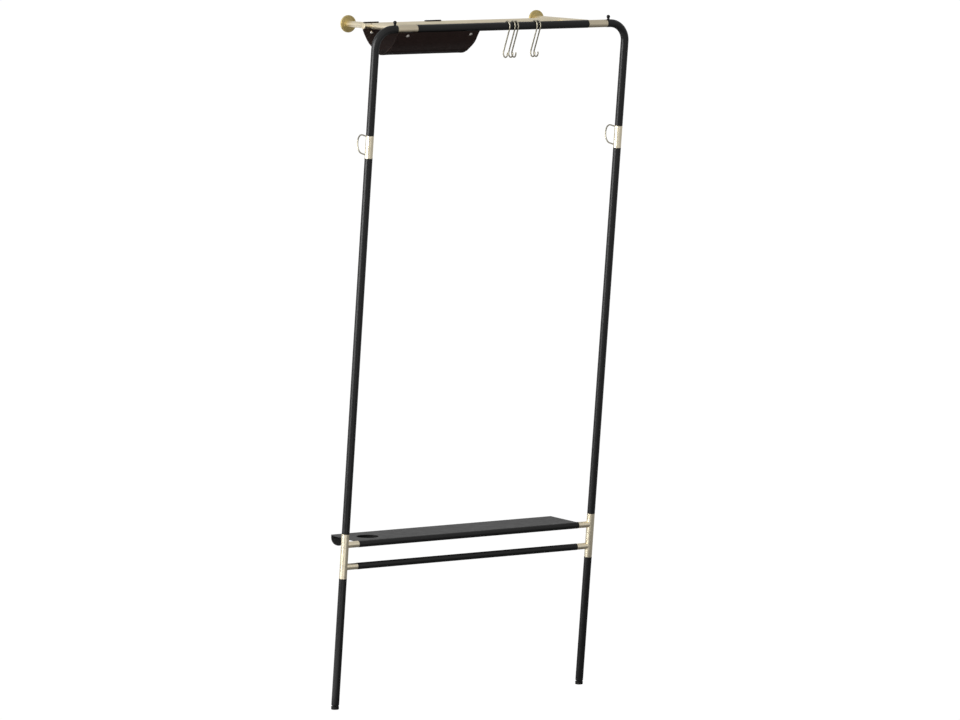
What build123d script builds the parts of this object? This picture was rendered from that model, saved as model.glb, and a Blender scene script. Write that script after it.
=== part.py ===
from build123d import *
import math
import os

# Leaning valet stand: two long tube legs joined by a top bar, held off the wall
# by two arms, with a shelf and a lower rail near the floor.
# Millimetres, +Z up, +Y toward the wall, floor at z = 0.

# ---- driving dimensions ---------------------------------------------------
H_BAR = 1895.0          # height of the top bar's axis above the floor
FOOT_BACK = 229.6       # how far the feet stand nearer the wall than the bar
HALF_W = 400.0          # leg axis from the middle
WALL_Y = 321.0          # wall plane behind the top bar's axis
Y_SHIFT = 152.85        # moves the box's middle to y = 0

TUBE_R = 11.0           # leg and top bar tube
TUBE_WALL = 1.5
BRASS_R = 10.9          # sleeves and lower fittings
TEE_R = 10.6            # top tees
SPIGOT_R = TUBE_R - TUBE_WALL - 0.05
SPIGOT_L = 20.0
BEND_R = 52.0           # corner bend, to the tube axis

ARM_X = 305.0           # wall arms from the middle
ARM_R = 8.6
ARM_WALL = 1.5
TEE_IN, TEE_OUT = 274.0, 336.0
FLANGE_R = 24.0
FLANGE_T = 4.0
WALL_THREAD_R = 4.0
WALL_THREAD_L = 18.0

REAR_Y = 190.0          # rear bar behind the top bar's axis
REAR_R = 9.0
REAR_STUB_X = 333.0     # end of the short stub past the left arm

SLEEVE_TOP = 289.7      # ring sleeve, measured down the leg from the top bar
SLEEVE_BOT = 352.4
WIRE_R = 2.0
LOOP_OUT = 64.0         # loop's far side from the leg axis
LOOP_TALL = 51.0
LOOP_CORNER = 24.0

FIT_BOT, FIT_TOP = 373.2, 499.6     # lower fitting, heights
STUB_HI, STUB_LO = 467.7, 405.1     # its two stub axes, heights
STUB_R = 8.9
STUB_X = 358.0          # stub end from the middle
RAIL_R = 9.35
RAIL_WALL = 1.2

SHELF_T = 2.5
SHELF_HALF = 360.0
SHELF_UP = 7.6          # shelf's top face above the front rail's axis
TAB_W, TAB_DROP = 50.0, 33.0
TAB_HOLE_X = 322.0
TAB_HOLE_R = 2.75
HOLE_X, HOLE_Y, HOLE_R = -289.0, 241.0, 31.0
COLLAR_T, COLLAR_DROP = 2.0, 20.0

TRAY_X0, TRAY_X1 = -338.0, -80.0
TRAY_T = 3.0
RIVET_X = ((-304.0, -315.0, -306.0, 44.0), (-105.0, -109.5, -109.5, 49.0))   # front rivet, rear rivet, strap, its width
STRAP_T = 2.5

STOP_X = 342.0          # hanger stops on the top corners
STOP_R, STOP_HEAD_R, STOP_TALL = 3.5, 5.0, 12.4

HOOK_X = (14.5, 31.5, 41.7, 102.4, 113.0)
HOOK_LOOP_R = 13.3      # wire axis round the bar
HOOK_J_R = 10.6

PAD_R, PAD_T = 10.9, 9.0
BALL_R = 3.6
BALL_Z = 5.5

LEAN = math.atan2(FOOT_BACK, H_BAR)
CL, SL = math.cos(LEAN), math.sin(LEAN)
LEG_L = H_BAR / CL      # foot point to top bar axis, along the leg

# ---- frames ---------------------------------------------------------------
# Leg frame: x across, y up the leg, z out of the leg plane away from the wall.
LEG = Plane(origin=(0, FOOT_BACK - Y_SHIFT, 0), x_dir=(1, 0, 0), z_dir=(0, -CL, -SL))


def on_leg(shape):
    return LEG.location * shape


def cyl(p, q, r):
    """Solid cylinder of radius r from point p to point q."""
    p, q = Vector(*p), Vector(*q)
    d = q - p
    pl = Plane(origin=p, z_dir=d)
    return pl.location * Cylinder(r, d.length, align=(Align.CENTER, Align.CENTER, Align.MIN))


def tube(p, q, r, wall):
    p, q = Vector(*p), Vector(*q)
    d = (q - p).normalized()
    return cyl(p, q, r) - cyl(p - d * 1.0, q + d * 1.0, r - wall)


def ball(p, r):
    return Pos(*p) * Sphere(r)


def box(x0, x1, y0, y1, z0, z1):
    return Pos((x0 + x1) / 2, (y0 + y1) / 2, (z0 + z1) / 2) * Box(x1 - x0, y1 - y0, z1 - z0)


def W(x, y, z):
    """Point given from the top bar's vertical plane, floor up."""
    return (x, y - Y_SHIFT, z)


def leg_y(z):
    return FOOT_BACK * (1 - z / H_BAR)


parts = {}
BAR_Z = H_BAR
V_SL_TOP = LEG_L - SLEEVE_TOP
V_SL_BOT = LEG_L - SLEEVE_BOT
V_FB, V_FT = FIT_BOT / CL, FIT_TOP / CL
V_HI, V_LO = STUB_HI / CL, STUB_LO / CL
V_TUBE = 12.4           # lower end of the leg tube, up the leg
SCREW_R = 2.0
SCREW_L = 4.0
SCREW_IN = 10.0         # screw from the end of its tube

# ---- legs, sleeves, lower fittings ------------------------------------------
screws = []


def leg_screw(x, v):
    """Grub screw in the back of a leg, head just under the tube surface."""
    return on_leg(cyl((x, v, -TUBE_R + 0.3), (x, v, -TUBE_R + 0.3 + SCREW_L), SCREW_R)), \
        on_leg(cyl((x, v, -TUBE_R - 2.0), (x, v, -TUBE_R + 0.3 + SCREW_L), SCREW_R + 0.05))


for side, s in (("left", -1), ("right", 1)):
    x = s * HALF_W
    # lower leg
    low = tube((x, V_TUBE, 0), (x, V_FB, 0), TUBE_R, TUBE_WALL)
    low = chamfer(low.edges().filter_by(GeomType.CIRCLE).group_by(Axis.Y)[0].sort_by(SortBy.RADIUS)[-1], 0.4)
    low = on_leg(low)
    # middle leg
    mid = on_leg(tube((x, V_FT, 0), (x, V_SL_BOT, 0), TUBE_R, TUBE_WALL))
    # upper leg with its corner bend
    bend0 = LEG_L - BEND_R
    path = Wire([
        Edge.make_line((x, V_SL_TOP, 0), (x, bend0, 0)),
        Edge.make_three_point_arc((x, bend0, 0),
                                  (s * (HALF_W - BEND_R + BEND_R * math.cos(math.pi / 4)), bend0 + BEND_R * math.sin(math.pi / 4), 0),
                                  (s * (HALF_W - BEND_R), LEG_L, 0)),
        Edge.make_line((s * (HALF_W - BEND_R), LEG_L, 0), (s * TEE_OUT, LEG_L, 0)),
    ])
    ring = Plane(origin=(x, V_SL_TOP, 0), z_dir=(0, 1, 0)) * (Circle(TUBE_R) - Circle(TUBE_R - TUBE_WALL))
    up = on_leg(sweep(ring, path=path))

    # ring sleeve with a spigot into each tube
    slv = cyl((x, V_SL_BOT, 0), (x, V_SL_TOP, 0), BRASS_R)
    slv = chamfer(slv.edges().filter_by(GeomType.CIRCLE), 0.5)
    slv += cyl((x, V_SL_BOT - SPIGOT_L, 0), (x, V_SL_TOP + SPIGOT_L, 0), SPIGOT_R)
    vm = (V_SL_BOT + V_SL_TOP) / 2
    slv = on_leg(slv)
    # hanging loop: a wire D whose two ends sit in the sleeve
    a0, a1 = vm - LOOP_TALL / 2, vm + LOOP_TALL / 2
    zo = -LOOP_OUT
    c = LOOP_CORNER
    k = c * (1 - math.cos(math.pi / 4))
    lp = Wire([
        Edge.make_line((x, a0, -3.0), (x, a0, zo + c)),
        Edge.make_three_point_arc((x, a0, zo + c), (x, a0 + k, zo + k), (x, a0 + c, zo)),
        Edge.make_line((x, a0 + c, zo), (x, a1 - c, zo)),
        Edge.make_three_point_arc((x, a1 - c, zo), (x, a1 - k, zo + k), (x, a1, zo + c)),
        Edge.make_line((x, a1, zo + c), (x, a1, -3.0)),
    ])
    lsec = Plane(origin=(x, a0, -3.0), z_dir=(0, 0, -1)) * Circle(WIRE_R)
    loop = on_leg(sweep(lsec, path=lp))
    for av in (a0, a1):
        slv -= on_leg(cyl((x, av, -2.9), (x, av, -BRASS_R - 3), WIRE_R + 0.02))

    # lower fitting: post with two stubs toward the middle
    fit = cyl((x, V_FB, 0), (x, V_FT, 0), BRASS_R)
    fit = chamfer(fit.edges().filter_by(GeomType.CIRCLE), 0.5)
    fit += cyl((x, V_FB - SPIGOT_L, 0), (x, V_FT + SPIGOT_L, 0), SPIGOT_R)
    for vv in (V_HI, V_LO):
        fit += cyl((x, vv, 0), (s * STUB_X, vv, 0), STUB_R)
        fit += cyl((s * STUB_X, vv, 0), (s * (STUB_X - 18), vv, 0), RAIL_R - RAIL_WALL - 0.05)
    fit = on_leg(fit)

    # grub screws at every tube end of the leg
    for vv, host in ((V_FB - SCREW_IN, "low"), (V_FT + SCREW_IN, "mid"),
                     (V_SL_BOT - SCREW_IN, "mid"), (V_SL_TOP + SCREW_IN, "up")):
        sc, hole = leg_screw(x, vv)
        screws.append(sc)
        if host == "low":
            low -= hole
        elif host == "mid":
            mid -= hole
        else:
            up -= hole
        if vv < V_SL_BOT - 50:
            fit -= hole
        else:
            slv -= hole

    parts[side + "_lower_leg"] = low
    parts[side + "_middle_leg"] = mid
    parts[side + "_upper_leg"] = up
    parts[side + "_ring_sleeve"] = slv
    parts[side + "_hanging_loop"] = loop
    parts[side + "_lower_fitting"] = fit

    # foot: insert pressed in the tube, threaded stem, tilting pad
    ins = cyl((x, V_TUBE, 0), (x, V_TUBE + 24.6, 0), SPIGOT_R) - cyl((x, V_TUBE - 1, 0), (x, V_TUBE + 26, 0), 3.95)
    parts[side + "_foot_insert"] = on_leg(ins)
    vb = BALL_Z / CL
    stem = ball((x, vb, 0), BALL_R) + cyl((x, vb, 0), (x, 11.4, 0), 2.4) \
        + chamfer(cyl((x, 11.3, 0), (x, 12.35, 0), 9.6).edges().filter_by(GeomType.CIRCLE), 0.4) \
        + cyl((x, 12.2, 0), (x, 42.0, 0), 3.9)
    parts[side + "_foot_stem"] = on_leg(stem)
    pc = W(x, leg_y(BALL_Z), BALL_Z)
    pad = cyl((pc[0], pc[1], 0), (pc[0], pc[1], PAD_T), PAD_R)
    pad = fillet(pad.edges().filter_by(GeomType.CIRCLE).group_by(Axis.Z)[0], 1.3)
    pad = fillet(pad.edges().filter_by(GeomType.CIRCLE).group_by(Axis.Z)[-1], 0.5)
    pad -= ball(pc, BALL_R + 0.3)
    pad -= cyl((pc[0], pc[1], 7.0), (pc[0], pc[1], PAD_T + 1.0), 3.45)
    parts[side + "_foot_pad"] = pad

# ---- top bar, tees, arms, flanges ------------------------------------------
top = tube(W(-TEE_IN, 0, BAR_Z), W(TEE_IN, 0, BAR_Z), TUBE_R, TUBE_WALL)
ARM_SPIG_R = ARM_R - ARM_WALL - 0.05
for side, s in (("left", -1), ("right", 1)):
    tee = cyl(W(s * TEE_IN, 0, BAR_Z), W(s * TEE_OUT, 0, BAR_Z), TEE_R)
    tee = chamfer(tee.edges().filter_by(GeomType.CIRCLE), 0.5)
    tee += cyl(W(s * (TEE_IN - SPIGOT_L), 0, BAR_Z), W(s * TEE_OUT, 0, BAR_Z), SPIGOT_R)
    tee += cyl(W(s * TEE_OUT, 0, BAR_Z), W(s * (TEE_OUT + 11), 0, BAR_Z), SPIGOT_R)
    tee += cyl(W(s * ARM_X, 0, BAR_Z), W(s * ARM_X, 26, BAR_Z), ARM_SPIG_R)
    arm = tube(W(s * ARM_X, 0, BAR_Z), W(s * ARM_X, WALL_Y - FLANGE_T, BAR_Z), ARM_R, ARM_WALL)
    arm -= cyl(W(s * (TEE_IN - 30), 0, BAR_Z), W(s * (TEE_OUT + 30), 0, BAR_Z), TEE_R)
    # screws: bar end from below, arm on its spigot from below, corner bend from below
    for px, tgt in ((s * (TEE_IN - SCREW_IN), "top"), (s * (TEE_OUT + 6), "bend")):
        p0 = W(px, 0, BAR_Z - TUBE_R + 0.3)
        sc = cyl(p0, W(px, 0, BAR_Z - TUBE_R + 0.3 + SCREW_L), SCREW_R)
        hole = cyl(W(px, 0, BAR_Z - TUBE_R - 2), W(px, 0, BAR_Z - TUBE_R + 0.3 + SCREW_L), SCREW_R + 0.05)
        screws.append(sc)
        tee -= hole
        if tgt == "top":
            top -= hole
        else:
            parts[side + "_upper_leg"] -= hole
    sc = cyl(W(s * ARM_X, 18, BAR_Z - ARM_R + 0.3), W(s * ARM_X, 18, BAR_Z - ARM_R + 4.3), SCREW_R)
    hole = cyl(W(s * ARM_X, 18, BAR_Z - ARM_R - 2), W(s * ARM_X, 18, BAR_Z - ARM_R + 4.3), SCREW_R + 0.05)
    screws.append(sc)
    tee -= hole
    arm -= hole
    # wall flange: turned disc with a shallow step, a spigot and a blind thread
    fl = cyl(W(s * ARM_X, WALL_Y - FLANGE_T, BAR_Z), W(s * ARM_X, WALL_Y, BAR_Z), FLANGE_R)
    fl = fillet(fl.edges().filter_by(GeomType.CIRCLE).group_by(Axis.Y)[0], 1.2)
    fl -= cyl(W(s * ARM_X, WALL_Y - FLANGE_T - 1, BAR_Z), W(s * ARM_X, WALL_Y - FLANGE_T + 0.7, BAR_Z), 19.0) \
        - cyl(W(s * ARM_X, WALL_Y - FLANGE_T - 2, BAR_Z), W(s * ARM_X, WALL_Y - FLANGE_T + 1.7, BAR_Z), 16.0)
    fl += cyl(W(s * ARM_X, WALL_Y - FLANGE_T - 20, BAR_Z), W(s * ARM_X, WALL_Y - 2, BAR_Z), ARM_SPIG_R)
    fl -= cyl(W(s * ARM_X, WALL_Y - WALL_THREAD_L, BAR_Z), W(s * ARM_X, WALL_Y + 1, BAR_Z), WALL_THREAD_R)
    parts[side + "_top_tee"] = tee
    parts[side + "_wall_arm"] = arm
    parts[side + "_wall_flange"] = fl
    # hanger stop: a pin with a ball head standing on the corner
    z0 = BAR_Z + TUBE_R - TUBE_WALL
    stop = cyl(W(s * STOP_X, 0, z0), W(s * STOP_X, 0, BAR_Z + TUBE_R + STOP_TALL - STOP_HEAD_R), STOP_R) \
        + ball(W(s * STOP_X, 0, BAR_Z + TUBE_R + STOP_TALL - STOP_HEAD_R), STOP_HEAD_R)
    parts[side + "_hanger_stop"] = stop
    parts[side + "_upper_leg"] -= cyl(W(s * STOP_X, 0, z0), W(s * STOP_X, 0, BAR_Z + 14), STOP_R + 0.02)
parts["top_bar_tube"] = top

# rear bar between the arms, coped to them, and a short capped stub past the left one
arms_solid = cyl(W(-ARM_X, 0, BAR_Z), W(-ARM_X, WALL_Y, BAR_Z), ARM_R) + cyl(W(ARM_X, 0, BAR_Z), W(ARM_X, WALL_Y, BAR_Z), ARM_R)
rear = tube(W(-ARM_X + 2.0, REAR_Y, BAR_Z), W(ARM_X - 2.0, REAR_Y, BAR_Z), REAR_R, 1.5) - arms_solid
rear = max(rear.solids(), key=lambda q: q.volume)
stub = cyl(W(-REAR_STUB_X, REAR_Y, BAR_Z), W(-ARM_X - 2.0, REAR_Y, BAR_Z), REAR_R)
stub = fillet(stub.edges().filter_by(GeomType.CIRCLE).group_by(Axis.X)[0], 1.5) - arms_solid
stub = max(stub.solids(), key=lambda q: q.volume)
parts["rear_bar_tube"] = rear
parts["rear_bar_stub"] = stub

# ---- rails and shelf ---------------------------------------------------------
rail_y = leg_y(STUB_HI)
front_rail = tube(W(-STUB_X, rail_y, STUB_HI), W(STUB_X, rail_y, STUB_HI), RAIL_R, RAIL_WALL)
low_rail = tube(W(-STUB_X, leg_y(STUB_LO), STUB_LO), W(STUB_X, leg_y(STUB_LO), STUB_LO), RAIL_R, RAIL_WALL)
for s in (-1, 1):
    for nm, yy, zz in (("f", rail_y, STUB_HI), ("l", leg_y(STUB_LO), STUB_LO)):
        px = s * (STUB_X - 9)
        sc = cyl(W(px, yy, zz - RAIL_R + 0.3), W(px, yy, zz - RAIL_R + 4.3), SCREW_R)
        hole = cyl(W(px, yy, zz - RAIL_R - 2), W(px, yy, zz - RAIL_R + 4.3), SCREW_R + 0.05)
        screws.append(sc)
        if nm == "f":
            front_rail -= hole
        else:
            low_rail -= hole
        k = ("left" if s < 0 else "right") + "_lower_fitting"
        parts[k] -= hole
parts["shelf_front_rail"] = front_rail
parts["lower_rail"] = low_rail
parts["joint_grub_screws"] = Compound(children=[q for q in screws])

top_z = STUB_HI + SHELF_UP
bot_z = top_z - SHELF_T
shelf = box(-SHELF_HALF, SHELF_HALF, rail_y - Y_SHIFT, WALL_Y - Y_SHIFT, bot_z, top_z)
for s in (-1, 1):
    # wall tab: turned down at the rear corner, rounded below, one screw hole
    cx = s * (SHELF_HALF - TAB_W / 2)
    r = TAB_W / 2
    tab = box(cx - r, cx + r, WALL_Y - Y_SHIFT - SHELF_T, WALL_Y - Y_SHIFT, top_z - (TAB_DROP - r), top_z)
    tab += cyl(W(cx, WALL_Y - SHELF_T, top_z - (TAB_DROP - r)), W(cx, WALL_Y, top_z - (TAB_DROP - r)), r)
    tab -= box(cx - 2 * r, cx + 2 * r, -400, 400, top_z, top_z + 100)
    shelf += tab
    # small gusset radius inside the fold
    shelf += box(cx - r, cx + r, WALL_Y - Y_SHIFT - SHELF_T - 1.5, WALL_Y - Y_SHIFT - SHELF_T, bot_z - 1.5, bot_z) \
        - cyl(W(cx - r - 1, WALL_Y - SHELF_T - 1.5, bot_z - 1.5), W(cx + r + 1, WALL_Y - SHELF_T - 1.5, bot_z - 1.5), 1.5)
    shelf -= cyl(W(s * TAB_HOLE_X, WALL_Y - 20, top_z - 15), W(s * TAB_HOLE_X, WALL_Y + 5, top_z - 15), TAB_HOLE_R)
shelf -= cyl(W(-STUB_X - 5, rail_y, STUB_HI), W(STUB_X + 5, rail_y, STUB_HI), RAIL_R)
shelf -= cyl(W(HOLE_X, HOLE_Y, bot_z - 5), W(HOLE_X, HOLE_Y, top_z + 5), HOLE_R)
shelf = max(shelf.solids(), key=lambda q: q.volume)
parts["shelf_panel"] = shelf
parts["umbrella_collar"] = cyl(W(HOLE_X, HOLE_Y, bot_z - COLLAR_DROP), W(HOLE_X, HOLE_Y, bot_z), HOLE_R + COLLAR_T) \
    - cyl(W(HOLE_X, HOLE_Y, bot_z - COLLAR_DROP - 1), W(HOLE_X, HOLE_Y, bot_z + 1), HOLE_R)

# ---- leather tray between the top bar and the rear bar ----------------------
# section of the sling, middle of the leather, from the top bar's axis (y, z)
SLING = [(-9.5, -10.0), (1.5, -23.5), (12.5, -37.0), (40.0, -56.3), (60.0, -66.5), (82.5, -72.6), (104.0, -68.0), (131.0, -53.8),
         (153.0, -40.5), (168.5, -25.5), (176.5, -16.5), (182.2, -7.6)]


def sling_face(t0, t1):
    """Closed section between two offsets from the leather's middle line."""
    pts = [Vector(0, a, b) for a, b in SLING]
    n = len(pts)
    lo, hi = [], []
    for i in range(n):
        d = (pts[min(i + 1, n - 1)] - pts[max(i - 1, 0)]).normalized()
        nrm = Vector(0, -d.Z, d.Y)      # toward the inside of the tray
        lo.append(pts[i] + nrm * t0)
        hi.append(pts[i] + nrm * t1)
    e1 = Edge.make_spline(lo)
    e2 = Edge.make_spline(list(reversed(hi)))
    w = Wire([e1, Edge.make_line(lo[-1], hi[-1]), e2, Edge.make_line(hi[0], lo[0])])
    return Face(w)


base = W(0, 0, BAR_Z)
sec = sling_face(-TRAY_T / 2, TRAY_T / 2)
sling = Pos(TRAY_X0, base[1], base[2]) * extrude(sec, amount=TRAY_X1 - TRAY_X0, dir=(1, 0, 0))
sling -= cyl(W(TRAY_X0 - 5, REAR_Y, BAR_Z), W(TRAY_X1 + 5, REAR_Y, BAR_Z), REAR_R + 0.3)
sling -= cyl(W(-ARM_X, 0, BAR_Z), W(-ARM_X, 260, BAR_Z), ARM_R + 0.3)

d1 = Vector(0, 12.5 - -9.5, -37.0 + 10.0).normalized()      # down the front panel
n1 = Vector(0, -d1.Z, d1.Y)                                  # inward
d2 = Vector(0, 182.2 - 168.5, -7.6 + 25.5).normalized()     # up the rear panel
n2 = Vector(0, -d2.Z, d2.Y)                                  # inward
FR = Vector(0, -9.5, -10.0) + d1 * (8.0 / abs(d1.Z))         # front rivet, 18 below the axis
RR = Vector(0, 182.2, -7.6) - d2 * (10.4 / abs(d2.Z))        # rear rivet, 18 below the axis


def at(v, x):
    return (x + v.X, v.Y - Y_SHIFT, v.Z + BAR_Z)


lugs, straps, rivets = [], [], []
for rx, rear_x, strap_x, strap_w in RIVET_X:
    # front lug: flat plate tangent to the bar, behind the leather
    r_bar = TEE_R if rx < -TEE_IN else TUBE_R
    o = -(n1 * (r_bar + 0.0))       # tangent point on the bar
    pl = Plane(origin=at(o, rx), x_dir=(1, 0, 0), z_dir=-n1)
    gap = (FR + n1 * (TRAY_T / 2)).dot(-n1) - r_bar       # from bar surface to leather
    reach = (FR - o).dot(d1) + 9.0
    sgn = 1.0 if pl.y_dir.dot(d1) > 0 else -1.0
    lug = Pos(0, sgn * (reach / 2 + 0.4), (gap - 0.05) / 2 - 0.4) * Box(24, reach - 0.8, gap - 0.05 + 0.8)
    lug = pl.location * lug
    lug -= cyl(W(rx - 40, 0, BAR_Z), W(rx + 40, 0, BAR_Z), r_bar)
    lug -= sling
    lug = max(lug.solids(), key=lambda q: q.volume)
    # rear strap: over the bar's crest, down behind it and under, on to the leather
    bx = W(strap_x, REAR_Y, BAR_Z)
    sw = strap_w / 2
    rin, rout = REAR_R + 0.3, REAR_R + 0.3 + STRAP_T
    ringo = cyl((bx[0] - sw, bx[1], bx[2]), (bx[0] + sw, bx[1], bx[2]), rout) - cyl((bx[0] - sw - 1, bx[1], bx[2]), (bx[0] + sw + 1, bx[1], bx[2]), rin)
    # keep the back half, the crest and the underside; the front stays open
    cut = Polyline((0, 0, 0), (0, -16 * math.sin(math.radians(15)), 16), (0, -40, 16), (0, -40, -16),
                   (0, -16 * math.sin(math.radians(38)), -16), (0, 0, 0))
    cutf = Pos(bx[0] - sw - 2, bx[1], bx[2]) * extrude(make_face(cut), amount=strap_w + 4, dir=(1, 0, 0))
    ringo -= cutf
    outer = RR - n2 * (TRAY_T / 2)
    pl2 = Plane(origin=at(outer, strap_x), x_dir=(1, 0, 0), z_dir=-n2)
    sg2 = 1.0 if pl2.y_dir.dot(d2) > 0 else -1.0
    strip = pl2.location * (Pos(0, sg2 * 1.0, STRAP_T / 2 + 0.02) * Box(strap_w, 20.0, STRAP_T))
    strip -= cyl((bx[0] - sw - 1, bx[1], bx[2]), (bx[0] + sw + 1, bx[1], bx[2]), rin)
    strap = ringo + strip
    strap -= cyl(W(-ARM_X, 150, BAR_Z), W(-ARM_X, 260, BAR_Z), ARM_R + 0.3)
    strap -= sling
    strap = max(strap.solids(), key=lambda q: q.volume)
    # rivets: domed head on the side that shows, shank, peened end
    for c, outn, tail, px in ((FR, -n1, TRAY_T / 2 + gap + 0.8, rx), (RR, n2, TRAY_T / 2 + STRAP_T, rear_x)):
        f = c + outn * (TRAY_T / 2 + 0.02)
        b = c - outn * (tail + 0.05)
        head = Plane(origin=at(f, px), z_dir=outn).location * (
            (Pos(0, 0, -3.4) * Sphere(5.9)) & (Pos(0, 0, 2.0) * Cylinder(7, 4)))
        shank = cyl(at(f, px), at(b, px), 2.0)
        peen = cyl(at(b, px), at(b - outn * 1.0, px), 3.4)
        rivets.append(head + shank + peen)
        hole = cyl(at(f + outn * 3, px), at(b - outn * 0.02, px), 2.05)
        sling -= hole
        if c is FR:
            lug -= hole
        else:
            strap -= hole
    lugs.append(lug)
    straps.append(strap)
sling = max(sling.solids(), key=lambda q: q.volume)
parts["tray_sling"] = sling
parts["tray_lugs"] = Compound(children=lugs)
parts["tray_straps"] = Compound(children=straps)
parts["tray_rivets"] = Compound(children=rivets)

# ---- hooks -------------------------------------------------------------------
# wire hook in the y-z plane, from the bar's axis
SH = Vector(0, 0.4405, -0.8978)          # down the shank
TP = Vector(0, -0.8978 * HOOK_LOOP_R, -0.4405 * HOOK_LOOP_R)
J0 = TP + SH * 72.3
JC = J0 + Vector(0, -0.8978, -0.4405) * HOOK_J_R
a_s = math.radians(-32)
B0 = Vector(0, HOOK_LOOP_R * math.cos(a_s), HOOK_LOOP_R * math.sin(a_s))
a_e = math.atan2(TP.Z, TP.Y) + 2 * math.pi
a_m = (a_s + a_e) / 2
BM = Vector(0, HOOK_LOOP_R * math.cos(a_m), HOOK_LOOP_R * math.sin(a_m))
j_s = math.atan2((J0 - JC).Z, (J0 - JC).Y)
j_e = -math.pi
j_m = (j_s + j_e) / 2
JM = JC + Vector(0, HOOK_J_R * math.cos(j_m), HOOK_J_R * math.sin(j_m))
JE = JC + Vector(0, -HOOK_J_R, 0)
TIP = JE + Vector(0, 0, 1.3)
for i, hx in enumerate(HOOK_X):
    hw = Wire([
        Edge.make_three_point_arc(B0, BM, TP),
        Edge.make_line(TP, J0),
        Edge.make_three_point_arc(J0, JM, JE),
        Edge.make_line(JE, TIP),
    ])
    tdir = Vector(0, -math.sin(a_s), math.cos(a_s))
    sec = Plane(origin=B0, z_dir=tdir) * Circle(WIRE_R)
    hk = sweep(sec, path=hw) + ball(tuple(B0), WIRE_R) + ball(tuple(TIP), WIRE_R)
    parts["hook_%d" % (i + 1)] = Pos(*W(hx, 0, BAR_Z)) * hk

# ---- write -------------------------------------------------------------------
os.makedirs("parts", exist_ok=True)
for name, shape in parts.items():
    export_step(shape, "parts/%s.step" % name)
print(len(parts), "nodes")
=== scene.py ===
import math

import bmesh
import bpy
import numpy as np
from mathutils import Matrix, Vector, noise


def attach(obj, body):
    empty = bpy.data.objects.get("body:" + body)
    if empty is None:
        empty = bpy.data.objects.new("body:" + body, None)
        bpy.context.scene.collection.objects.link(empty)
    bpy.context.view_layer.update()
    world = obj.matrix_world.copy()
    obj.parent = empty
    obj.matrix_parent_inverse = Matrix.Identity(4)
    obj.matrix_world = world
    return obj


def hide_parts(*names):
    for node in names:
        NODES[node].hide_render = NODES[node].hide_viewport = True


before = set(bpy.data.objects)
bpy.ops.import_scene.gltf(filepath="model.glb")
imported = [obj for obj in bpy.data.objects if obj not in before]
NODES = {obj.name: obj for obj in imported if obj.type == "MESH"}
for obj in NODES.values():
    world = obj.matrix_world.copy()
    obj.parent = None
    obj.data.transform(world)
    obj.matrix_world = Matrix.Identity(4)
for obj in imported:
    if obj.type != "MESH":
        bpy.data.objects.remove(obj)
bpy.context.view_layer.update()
scene = bpy.context.scene

# ---------------------------------------------------------------- camera
YS = 0.15285  # the row frame's y = 0 is this far behind the top bar's axis
YAW, PITCH, ROLL = math.radians(31.17), math.radians(6.51), math.radians(0.13)
FOCAL_PX, DIST = 5356.0, 14.729
TARGET = Vector((-0.0709, -YS, 0.9796))
fwd = Vector((math.sin(YAW) * math.cos(PITCH), math.cos(YAW) * math.cos(PITCH), -math.sin(PITCH)))
right = Vector((math.cos(YAW), -math.sin(YAW), 0.0))
up = right.cross(fwd)
r2 = right * math.cos(ROLL) + up * math.sin(ROLL)
u2 = -right * math.sin(ROLL) + up * math.cos(ROLL)
cam_data = bpy.data.cameras.new("camera")
cam = bpy.data.objects.new("camera", cam_data)
scene.collection.objects.link(cam)
cam_data.sensor_width = 36.0
cam_data.sensor_fit = "HORIZONTAL"
cam_data.lens = FOCAL_PX * 36.0 / 960.0
cam_data.clip_start, cam_data.clip_end = 0.5, 200.0
loc = TARGET - fwd * DIST
rot = Matrix((r2, u2, -fwd)).transposed().to_4x4()
cam.matrix_world = Matrix.Translation(loc) @ rot
scene.camera = cam


# ---------------------------------------------------------------- material helpers
def new_mat(name):
    m = bpy.data.materials.new(name)
    m.use_nodes = True
    nt = m.node_tree
    nt.nodes.clear()
    out = nt.nodes.new("ShaderNodeOutputMaterial")
    b = nt.nodes.new("ShaderNodeBsdfPrincipled")
    nt.links.new(b.outputs[0], out.inputs[0])
    return m, nt, b


def coords(nt, scale=(1, 1, 1), rot=(0, 0, 0)):
    tc = nt.nodes.new("ShaderNodeTexCoord")
    mp = nt.nodes.new("ShaderNodeMapping")
    mp.inputs["Scale"].default_value = scale
    mp.inputs["Rotation"].default_value = rot
    nt.links.new(tc.outputs["Object"], mp.inputs["Vector"])
    return mp.outputs["Vector"]


def tex_noise(nt, vec, scale, detail=4.0, rough=0.5):
    n = nt.nodes.new("ShaderNodeTexNoise")
    n.inputs["Scale"].default_value = scale
    n.inputs["Detail"].default_value = detail
    n.inputs["Roughness"].default_value = rough
    nt.links.new(vec, n.inputs["Vector"])
    return n.outputs["Fac"]


def ramp(nt, fac, stops):
    r = nt.nodes.new("ShaderNodeValToRGB")
    els = r.color_ramp.elements
    while len(els) > 1:
        els.remove(els[-1])
    els[0].position, els[0].color = stops[0][0], (*stops[0][1], 1)
    for p, c in stops[1:]:
        e = els.new(p)
        e.color = (*c, 1)
    nt.links.new(fac, r.inputs["Fac"])
    return r.outputs["Color"]


def remap(nt, fac, lo, hi, f0=0.0, f1=1.0):
    m = nt.nodes.new("ShaderNodeMapRange")
    m.inputs["From Min"].default_value = f0
    m.inputs["From Max"].default_value = f1
    m.inputs["To Min"].default_value = lo
    m.inputs["To Max"].default_value = hi
    nt.links.new(fac, m.inputs["Value"])
    return m.outputs["Result"]


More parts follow.
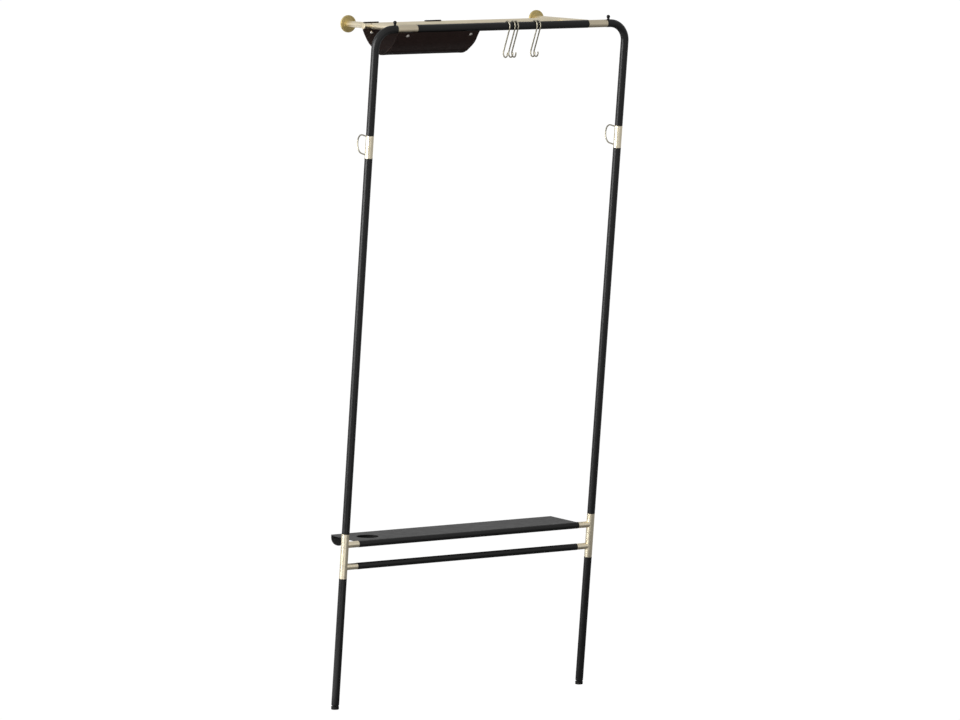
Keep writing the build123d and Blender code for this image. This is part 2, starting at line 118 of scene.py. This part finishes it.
def bump(nt, height, b, strength=0.2, dist=0.0005, prev=None):
    n = nt.nodes.new("ShaderNodeBump")
    n.inputs["Strength"].default_value = strength
    n.inputs["Distance"].default_value = dist
    nt.links.new(height, n.inputs["Height"])
    if prev is not None:
        nt.links.new(prev, n.inputs["Normal"])
    if b is not None:
        nt.links.new(n.outputs["Normal"], b.inputs["Normal"])
    return n.outputs["Normal"]


def mat_powder(name, base, rough, spec=0.5, peel=0.08):
    """Powder coat: fine orange peel, faint tone changes, a few duller patches."""
    m, nt, b = new_mat(name)
    v = coords(nt)
    big = tex_noise(nt, v, 9.0, 3.0)
    c0 = tuple(x * 0.86 for x in base)
    c1 = tuple(min(1, x * 1.16) for x in base)
    nt.links.new(ramp(nt, big, [(0.3, c0), (0.7, c1)]), b.inputs["Base Color"])
    mid = tex_noise(nt, v, 60.0, 4.0)
    nt.links.new(remap(nt, mid, rough - 0.05, rough + 0.06, 0.3, 0.7), b.inputs["Roughness"])
    fine = tex_noise(nt, v, 900.0, 2.0)
    bump(nt, fine, b, peel, 0.00012)
    b.inputs["Specular IOR Level"].default_value = spec
    return m


def mat_brass(name, base, rough, brush_axis=None, tone=0.05, relief=0.03):
    """Satin brass: fine brushing, faint tarnish clouds."""
    m, nt, b = new_mat(name)
    v = coords(nt)
    big = tex_noise(nt, v, 14.0, 4.0, 0.6)
    c0 = tuple(x * (1 - tone) for x in base)
    c1 = tuple(min(1.0, x * (1 + tone * 0.6)) for x in base)
    nt.links.new(ramp(nt, big, [(0.32, c0), (0.68, c1)]), b.inputs["Base Color"])
    sc = {"x": (4.0, 260.0, 260.0), "y": (260.0, 4.0, 260.0), "z": (260.0, 260.0, 4.0), None: (220.0, 220.0, 220.0)}[brush_axis]
    vb = coords(nt, sc)
    br = tex_noise(nt, vb, 6.0, 3.0)
    nt.links.new(remap(nt, br, rough - 0.03, rough + 0.04, 0.3, 0.7), b.inputs["Roughness"])
    bump(nt, br, b, relief, 0.00002)
    b.inputs["Metallic"].default_value = 1.0
    return m


def mat_leather(name):
    m, nt, b = new_mat(name)
    v = coords(nt)
    big = tex_noise(nt, v, 22.0, 5.0, 0.6)
    tone = ramp(nt, big, [(0.28, (0.0135, 0.0074, 0.0063)), (0.5, (0.0160, 0.0089, 0.0076)), (0.75, (0.0190, 0.0107, 0.0090))])
    # painted shade: the base colour is dimmed towards the bottom of the fold, down to 0.42 below z 1.8285
    sz = nt.nodes.new("ShaderNodeSeparateXYZ")
    nt.links.new(v, sz.inputs[0])
    painted_bottom_shade = nt.nodes.new("ShaderNodeVectorMath")
    painted_bottom_shade.operation = "SCALE"
    nt.links.new(tone, painted_bottom_shade.inputs[0])
    nt.links.new(remap(nt, sz.outputs["Z"], 0.42, 1.0, 1.8285, 1.8345), painted_bottom_shade.inputs["Scale"])
    nt.links.new(painted_bottom_shade.outputs[0], b.inputs["Base Color"])
    vo = nt.nodes.new("ShaderNodeTexVoronoi")
    vo.feature = "DISTANCE_TO_EDGE"
    vo.inputs["Scale"].default_value = 620.0
    nt.links.new(v, vo.inputs["Vector"])
    grain = remap(nt, vo.outputs["Distance"], 0.0, 1.0, 0.0, 0.18)
    n1 = bump(nt, grain, None, 0.35, 0.00022)
    pores = tex_noise(nt, v, 1500.0, 3.0)
    bump(nt, pores, b, 0.12, 0.00012, n1)
    mid = tex_noise(nt, v, 90.0, 4.0)
    nt.links.new(remap(nt, mid, 0.48, 0.66, 0.3, 0.7), b.inputs["Roughness"])
    b.inputs["Specular IOR Level"].default_value = 0.07
    return m


def mat_plain(name, base, rough, metallic=0.0, grain=400.0, spec=0.5):
    m, nt, b = new_mat(name)
    v = coords(nt)
    big = tex_noise(nt, v, 30.0, 3.0)
    c0 = tuple(x * 0.85 for x in base)
    c1 = tuple(min(1.0, x * 1.15) for x in base)
    nt.links.new(ramp(nt, big, [(0.3, c0), (0.7, c1)]), b.inputs["Base Color"])
    f = tex_noise(nt, v, grain, 3.0)
    nt.links.new(remap(nt, f, rough - 0.06, rough + 0.06, 0.3, 0.7), b.inputs["Roughness"])
    bump(nt, f, b, 0.15, 0.0001)
    b.inputs["Metallic"].default_value = metallic
    b.inputs["Specular IOR Level"].default_value = spec
    return m


BRASS = (0.85, 0.765, 0.58)
M = {
    "tube": mat_powder("black_tube", (0.0066, 0.0066, 0.0067), 0.36, 0.27),
    "shelf": mat_powder("shelf_black", (0.0208, 0.0208, 0.0211), 0.58, 0.45),
    "collar": mat_powder("collar_black", (0.0035, 0.0035, 0.0035), 0.70, 0.10),
    "stop": mat_powder("stop_black", (0.006, 0.006, 0.006), 0.42, 0.2),
    "brass_z": mat_brass("brass_brushed_up", BRASS, 0.36, "z"),
    "brass_x": mat_brass("brass_brushed_along", BRASS, 0.36, "x"),
    "brass_y": mat_brass("brass_brushed_back", BRASS, 0.40, "y"),
    "brass_tee": mat_brass("brass_tee", (0.62, 0.545, 0.405), 0.38, "x"),
    # the cap's darker base colour is painted shade on the stub's end facing the key light
    "brass_cap": mat_brass("brass_cap", (0.56, 0.50, 0.37), 0.55, None, 0.03, 0.006),
    "brass_turned": mat_brass("brass_turned", (0.56, 0.45, 0.205), 0.48, None, 0.03, 0.006),
    "brass_wire": mat_brass("brass_wire", (0.38, 0.352, 0.275), 0.32, None),
    "leather": mat_leather("tray_leather"),
    "thread": mat_plain("tray_thread", (0.020, 0.013, 0.010), 0.7, 0.0, 900.0, 0.15),
    "rivet": mat_brass("rivet_metal", (0.46, 0.43, 0.40), 0.36, None),
    "screw": mat_plain("screw_steel", (0.12, 0.12, 0.12), 0.4, 1.0),
    "lug": mat_powder("lug_steel", (0.02, 0.02, 0.02), 0.45),
    "stem": mat_plain("stem_steel", (0.006, 0.006, 0.006), 0.5, 0.0, 400.0, 0.3),
    "insert": mat_plain("insert_plastic", (0.016, 0.016, 0.016), 0.5),
    "pad": mat_plain("pad_rubber", (0.004, 0.004, 0.004), 0.62, 0.0, 700.0, 0.2),
}
ASSIGN = {}
for s in ("left", "right"):
    for n in ("lower_leg", "middle_leg", "upper_leg"):
        ASSIGN[f"{s}_{n}"] = "tube"
    ASSIGN[f"{s}_ring_sleeve"] = "brass_z"
    ASSIGN[f"{s}_lower_fitting"] = "brass_z"
    ASSIGN[f"{s}_top_tee"] = "brass_tee"
    ASSIGN[f"{s}_wall_arm"] = "brass_y"
    ASSIGN[f"{s}_wall_flange"] = "brass_turned"
    ASSIGN[f"{s}_hanging_loop"] = "brass_wire"
    ASSIGN[f"{s}_hanger_stop"] = "stop"
    ASSIGN[f"{s}_foot_insert"] = "insert"
    ASSIGN[f"{s}_foot_stem"] = "stem"
    ASSIGN[f"{s}_foot_pad"] = "pad"
for n in ("top_bar_tube", "shelf_front_rail", "lower_rail"):
    ASSIGN[n] = "tube"
for n in ("rear_bar_tube", "rear_bar_stub"):
    ASSIGN[n] = "brass_x"
for n in ("shelf_panel",):
    ASSIGN[n] = "shelf"
ASSIGN["umbrella_collar"] = "collar"
ASSIGN["joint_grub_screws"] = "screw"
ASSIGN["tray_sling"] = ASSIGN["tray_straps"] = "leather"
ASSIGN["tray_lugs"] = "lug"
ASSIGN["tray_rivets"] = "rivet"
for i in range(5):
    ASSIGN[f"hook_{i + 1}"] = "brass_wire"
for n, o in NODES.items():
    mat = M[ASSIGN[n]]
    o.data.materials.clear()
    o.data.materials.append(mat)

# painted shade: the umbrella hole's inner wall gets the collar's darker, flatter black in place of the recess's
# shade
sh = NODES["shelf_panel"]
sh.data.materials.append(M["collar"])
mw = sh.matrix_world
hole = Vector((-0.289, 0.241 - YS))
for poly in sh.data.polygons:
    pc = mw @ poly.center
    if (Vector((pc.x, pc.y)) - hole).length < 0.0313 and abs(poly.normal.z) < 0.5:
        poly.material_index = 1

# the stub's end cap is turned and rougher than its side; its darker base colour is painted shade that tones down
# the key light on the end
rb = NODES["rear_bar_stub"]
rb.data.materials.append(M["brass_cap"])
for poly in rb.data.polygons:
    if (rb.matrix_world @ poly.center).x < -0.3312:
        poly.material_index = 1

# ---------------------------------------------------------------- tray leather
TX0, TX1, TH = -0.338, -0.080, 0.0030
SLING = [(-9.5, -10.0), (1.5, -23.5), (12.5, -37.0), (40.0, -56.3), (60.0, -66.5), (82.5, -72.6), (104.0, -68.0),
         (131.0, -53.8), (153.0, -40.5), (168.5, -25.5), (176.5, -16.5), (181.9, -8.1)]
BARZ = 1.895


def spline(points, n):
    """Natural cubic through the points, resampled evenly by arc length."""
    pts = np.array(points, float)
    t = np.concatenate([[0], np.cumsum(np.hypot(*np.diff(pts, axis=0).T))])
    m = len(t)
    h = np.diff(t)
    a = np.zeros((m, m))
    r = np.zeros((m, 2))
    a[0, 0] = a[-1, -1] = 1
    for i in range(1, m - 1):
        a[i, i - 1], a[i, i], a[i, i + 1] = h[i - 1], 2 * (h[i - 1] + h[i]), h[i]
        r[i] = 6 * ((pts[i + 1] - pts[i]) / h[i] - (pts[i] - pts[i - 1]) / h[i - 1])
    mm = np.linalg.solve(a, r)
    tt = np.linspace(0, t[-1], 1500)
    k = np.clip(np.searchsorted(t, tt) - 1, 0, m - 2)
    u, w = tt - t[k], t[k + 1] - tt
    hk = h[k]
    p = (mm[k] * (w ** 3 / (6 * hk))[:, None] + mm[k + 1] * (u ** 3 / (6 * hk))[:, None]
         + (pts[k] / hk[:, None] - mm[k] * (hk / 6)[:, None]) * w[:, None]
         + (pts[k + 1] / hk[:, None] - mm[k + 1] * (hk / 6)[:, None]) * u[:, None])
    s = np.concatenate([[0], np.cumsum(np.hypot(*np.diff(p, axis=0).T))])
    q = np.linspace(0, s[-1], n)
    return np.stack([np.interp(q, s, p[:, 0]), np.interp(q, s, p[:, 1])], 1), s[-1]


NV, NU = 170, 190
SEC, SLEN = spline(SLING, NV)          # millimetres, (y, z)
SLEN /= 1000.0
TAN = np.gradient(SEC, axis=0)
TAN /= np.linalg.norm(TAN, axis=1)[:, None]
NRM = np.stack([-TAN[:, 1], TAN[:, 0]], 1)      # toward the tray's hollow
RIVETS = [(-0.304, 0.0103), (-0.105, 0.0103)], [(-0.315, SLEN - 0.0130), (-0.1095, SLEN - 0.0130)]
SEAM_V = 0.0815                        # seam low on the front panel
HEM = 0.0105                           # hem bands at the two ends


def smooth(x, a, b):
    t = min(max((x - a) / (b - a), 0.0), 1.0)
    return t * t * (3 - 2 * t)


def leather_point(x, v, side):
    """side +1 is the face inside the tray, -1 the one outside."""
    f = v / SLEN * (NV - 1)
    i = min(int(f), NV - 2)
    w = f - i
    y, z = SEC[i] * (1 - w) + SEC[i + 1] * w
    ny, nz = NRM[i] * (1 - w) + NRM[i + 1] * w
    edge = min(x - TX0, TX1 - x)
    # the hide: gentle unevenness, a little sag between the bars' ends, dimples at the rivets
    d = 0.35 * noise.noise(Vector((x * 16, v * 18, 3.1))) + 0.12 * noise.noise(Vector((x * 70, v * 60, 7.7)))
    d *= smooth(v, 0.0, 0.02) * smooth(SLEN - v, 0.0, 0.03)
    half = TH * 500.0 * (0.80 + 0.05 * noise.noise(Vector((x * 40, v * 40, side * 5.0))))
    # folded hem, a shade thicker, with a stitch groove
    hem = 1.0 - smooth(edge, HEM - 0.0012, HEM + 0.0004)
    half += 0.30 * hem
    g = abs(edge - 0.0075)
    half -= 0.28 * (1 - smooth(g, 0.0003, 0.0012))
    # turned and stitched seam along the front's foot
    if side < 0:
        q = v - SEAM_V
        half += 0.75 * smooth(q, -0.0016, 0.0002) * (1 - smooth(q, 0.0075, 0.0100)) * (0.9 + 0.1 * noise.noise(Vector((x * 55, 0, 1.0))))
        half -= 0.25 * (1 - smooth(abs(q - 0.0030), 0.0003, 0.0011))
    for row in RIVETS:
        for rx, rv in row:
            r = math.hypot(x - rx, v - rv)
            if r < 0.022:
                half -= 0.30 * (1 - smooth(r, 0.0045, 0.0105))
                half += 0.10 * (1 - smooth(abs(r - 0.0125), 0.0, 0.006))
    # rounded raw edges
    for e in (edge, v, SLEN - v):
        if e < 0.0014:
            half *= math.sqrt(max(0.0, 1 - (1 - e / 0.0014) ** 2)) * 0.72 + 0.28
    y += ny * (d + side * half)
    z += nz * (d + side * half)
    # clear of the left arm
    a = 1 - smooth(abs(x + 0.305), 0.010, 0.016)
    if a > 0:
        lim = -10.1
        z = z - a * max(0.0, z - lim)
    return Vector((x, y / 1000.0 - YS, BARZ + z / 1000.0))


def spaced(n, length, pinch):
    """Positions from 0 to length, with extra ones near both ends and along the hems."""
    base = list(np.linspace(0, length, n))
    base += [e for e in (0.0002, 0.0005, 0.0009, 0.0014)] + [length - e for e in (0.0002, 0.0005, 0.0009, 0.0014)]
    for c in pinch:
        base += [c - 0.0014, c - 0.0009, c - 0.0004, c, c + 0.0004, c + 0.0009, c + 0.0014]
    return sorted(set(round(b, 6) for b in base if 0 <= b <= length))


US = [TX0 + u for u in spaced(NU, TX1 - TX0, (0.0075, HEM, TX1 - TX0 - 0.0075, TX1 - TX0 - HEM))]
VS = spaced(NV, SLEN, (SEAM_V, SEAM_V + 0.0030, SEAM_V + 0.0088))
me = bpy.data.meshes.new("tray_leather_piece")
bm = bmesh.new()
grid = {}
for side in (1, -1):
    for i, x in enumerate(US):
        for j, v in enumerate(VS):
            grid[side, i, j] = bm.verts.new(leather_point(x, v, side))
nu, nv = len(US), len(VS)
for i in range(nu - 1):
    for j in range(nv - 1):
        a = [grid[1, i, j], grid[1, i + 1, j], grid[1, i + 1, j + 1], grid[1, i, j + 1]]
        b = [grid[-1, i, j], grid[-1, i, j + 1], grid[-1, i + 1, j + 1], grid[-1, i + 1, j]]
        bm.faces.new(a)
        bm.faces.new(b)
for i in range(nu - 1):
    for j in (0, nv - 1):
        bm.faces.new([grid[1, i, j], grid[-1, i, j], grid[-1, i + 1, j], grid[1, i + 1, j]])
for j in range(nv - 1):
    for i in (0, nu - 1):
        bm.faces.new([grid[1, i, j], grid[1, i, j + 1], grid[-1, i, j + 1], grid[-1, i, j]])
bmesh.ops.recalc_face_normals(bm, faces=bm.faces)
for f in bm.faces:
    f.smooth = True
bm.to_mesh(me)
bm.free()
me.materials.append(M["leather"])
tray = bpy.data.objects.new("tray_leather_piece", me)
scene.collection.objects.link(tray)


def capsule(bm, a, b, nrm, r, seg=8):
    """A stitch: a short thread that dips into the leather at both ends."""
    d = (b - a).normalized()
    s2 = d.cross(nrm).normalized()
    rings = []
    for t, k, lift in ((0.0, 0.35, -0.9), (0.12, 0.85, -0.1), (0.35, 1.0, 0.35), (0.65, 1.0, 0.35), (0.88, 0.85, -0.1), (1.0, 0.35, -0.9)):
        c = a.lerp(b, t) + nrm * (lift * r)
        rings.append([bm.verts.new(c + (s2 * math.cos(q) + nrm * math.sin(q)) * r * k) for q in [2 * math.pi * n / seg for n in range(seg)]])
    for p, q in zip(rings, rings[1:]):
        for n in range(seg):
            bm.faces.new([p[n], p[(n + 1) % seg], q[(n + 1) % seg], q[n]])
    bm.faces.new(rings[0][::-1])
    bm.faces.new(rings[-1])


bm = bmesh.new()


def stitch_row(fixed, along_v, length, start, side):
    n = int(length / 0.0042)
    for k in range(n):
        t0 = start + k * length / n + 0.0005
        t1 = t0 + length / n - 0.0010
        pa = leather_point(fixed, t0, side) if along_v else leather_point(t0, fixed, side)
        pb = leather_point(fixed, t1, side) if along_v else leather_point(t1, fixed, side)
        f = (0.5 * (t0 + t1) if along_v else fixed) / SLEN * (NV - 1)
        i = min(max(int(f), 0), NV - 1)
        nrm = Vector((0, NRM[i][0], NRM[i][1])) * side
        capsule(bm, pa, pb, nrm, 0.00042)


for side in (1, -1):
    for x in (TX0 + 0.0075, TX1 - 0.0075):
        stitch_row(x, True, SLEN - 0.012, 0.006, side)
stitch_row(SEAM_V + 0.0030, False, TX1 - TX0 - 0.024, TX0 + 0.012, -1)
bmesh.ops.recalc_face_normals(bm, faces=bm.faces)
for f in bm.faces:
    f.smooth = True
ms = bpy.data.meshes.new("tray_stitching")
bm.to_mesh(ms)
bm.free()
ms.materials.append(M["thread"])
stitches = bpy.data.objects.new("tray_stitching", ms)
scene.collection.objects.link(stitches)
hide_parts("tray_sling")
for o in (tray, stitches):
    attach(o, "stand_frame")

# ---------------------------------------------------------------- stage and light
FLOOR_NEAR, FLOOR_FAR, FLOOR_LEFT = 0.15, 0.48, 1.35      # what the floor sends to the object, by distance
floor_mesh = bpy.data.meshes.new("floor")
bm = bmesh.new()
bmesh.ops.create_grid(bm, x_segments=2, y_segments=2, size=150.0)
bm.to_mesh(floor_mesh)
bm.free()
floor = bpy.data.objects.new("floor", floor_mesh)
floor.location = (0, 0, -0.0002)
scene.collection.objects.link(floor)
fm = bpy.data.materials.new("floor_pale")
fm.use_nodes = True
nt = fm.node_tree
nt.nodes.clear()
out = nt.nodes.new("ShaderNodeOutputMaterial")
mix = nt.nodes.new("ShaderNodeMixShader")
lp = nt.nodes.new("ShaderNodeLightPath")
dark = nt.nodes.new("ShaderNodeEmission")
dark.inputs["Color"].default_value = (1, 1, 1, 1)
tcf = nt.nodes.new("ShaderNodeTexCoord")
dist = nt.nodes.new("ShaderNodeVectorMath")
dist.operation = "LENGTH"
nt.links.new(tcf.outputs["Object"], dist.inputs[0])
sep = nt.nodes.new("ShaderNodeSeparateXYZ")
nt.links.new(tcf.outputs["Object"], sep.inputs[0])
add = nt.nodes.new("ShaderNodeMath")
add.operation = "ADD"
nt.links.new(remap(nt, dist.outputs["Value"], FLOOR_NEAR, FLOOR_FAR, 1.2, 3.8), add.inputs[0])
mul = nt.nodes.new("ShaderNodeMath")
mul.operation = "MULTIPLY"
nt.links.new(remap(nt, sep.outputs["X"], 0.0, FLOOR_LEFT, -0.42, -0.55), mul.inputs[0])
nt.links.new(remap(nt, sep.outputs["X"], 1.0, 0.0, -0.75, -1.15), mul.inputs[1])
nt.links.new(mul.outputs[0], add.inputs[1])
nt.links.new(add.outputs[0], dark.inputs["Strength"])
em = nt.nodes.new("ShaderNodeEmission")
em.inputs["Color"].default_value = (1, 1, 1, 1)
em.inputs["Strength"].default_value = 1.03
nt.links.new(lp.outputs["Is Camera Ray"], mix.inputs[0])
nt.links.new(dark.outputs[0], mix.inputs[1])
nt.links.new(em.outputs[0], mix.inputs[2])
nt.links.new(mix.outputs[0], out.inputs[0])
floor_mesh.materials.append(fm)

world = bpy.data.worlds.new("studio")
scene.world = world
world.use_nodes = True
nt = world.node_tree
nt.nodes.clear()
wo = nt.nodes.new("ShaderNodeOutputWorld")
mixw = nt.nodes.new("ShaderNodeMixShader")
lpw = nt.nodes.new("ShaderNodeLightPath")
bg_cam = nt.nodes.new("ShaderNodeBackground")
bg_cam.inputs["Color"].default_value = (1, 1, 1, 1)
bg_cam.inputs["Strength"].default_value = 1.0
bg_env = nt.nodes.new("ShaderNodeBackground")
tcw = nt.nodes.new("ShaderNodeTexCoord")
dotn = nt.nodes.new("ShaderNodeVectorMath")
dotn.operation = "DOT_PRODUCT"
dotn.inputs[1].default_value = Vector((-0.80, -0.55, -0.05)).normalized()
nt.links.new(tcw.outputs["Generated"], dotn.inputs[0])
rw = nt.nodes.new("ShaderNodeValToRGB")
els = rw.color_ramp.elements
els[0].position, els[0].color = 0.0, (0.76, 0.76, 0.76, 1)
els[1].position, els[1].color = 1.0, (1.0, 1.0, 1.0, 1)
e = els.new(0.45)
e.color = (0.66, 0.66, 0.66, 1)
e = els.new(0.70)
e.color = (0.80, 0.80, 0.80, 1)
mr = nt.nodes.new("ShaderNodeMapRange")
mr.inputs["From Min"].default_value = -1.0
mr.inputs["From Max"].default_value = 1.0
nt.links.new(dotn.outputs["Value"], mr.inputs["Value"])
nt.links.new(mr.outputs["Result"], rw.inputs["Fac"])
nt.links.new(rw.outputs["Color"], bg_env.inputs["Color"])
bg_env.inputs["Strength"].default_value = 0.9
nt.links.new(lpw.outputs["Is Camera Ray"], mixw.inputs[0])
nt.links.new(bg_env.outputs[0], mixw.inputs[1])
nt.links.new(bg_cam.outputs[0], mixw.inputs[2])
nt.links.new(mixw.outputs[0], wo.inputs[0])


def area(name, loc, aim, sx, sy, power, color=(1, 1, 1)):
    d = bpy.data.lights.new(name, "AREA")
    d.shape = "RECTANGLE"
    d.size, d.size_y = sx, sy
    d.energy = power
    d.color = color
    o = bpy.data.objects.new(name, d)
    o.location = loc
    o.rotation_mode = "QUATERNION"
    o.rotation_quaternion = (Vector(aim) - Vector(loc)).to_track_quat("-Z", "Y")
    scene.collection.objects.link(o)
    return o


area("key_left", (-4.2, 0.1, 1.5), (0, 0, 1.0), 2.6, 4.8, 330)
area("top_soft", (-1.0, -1.5, 4.6), (0, 0, 1.0), 3.5, 3.5, 10)
area("front_fill", (0.5, -6.6, 1.6), (0, 0, 1.0), 5.0, 3.0, 20)

scene.view_settings.view_transform = "Standard"
scene.view_settings.look = "None"
scene.view_settings.exposure = 0.0
scene.view_settings.gamma = 1.0
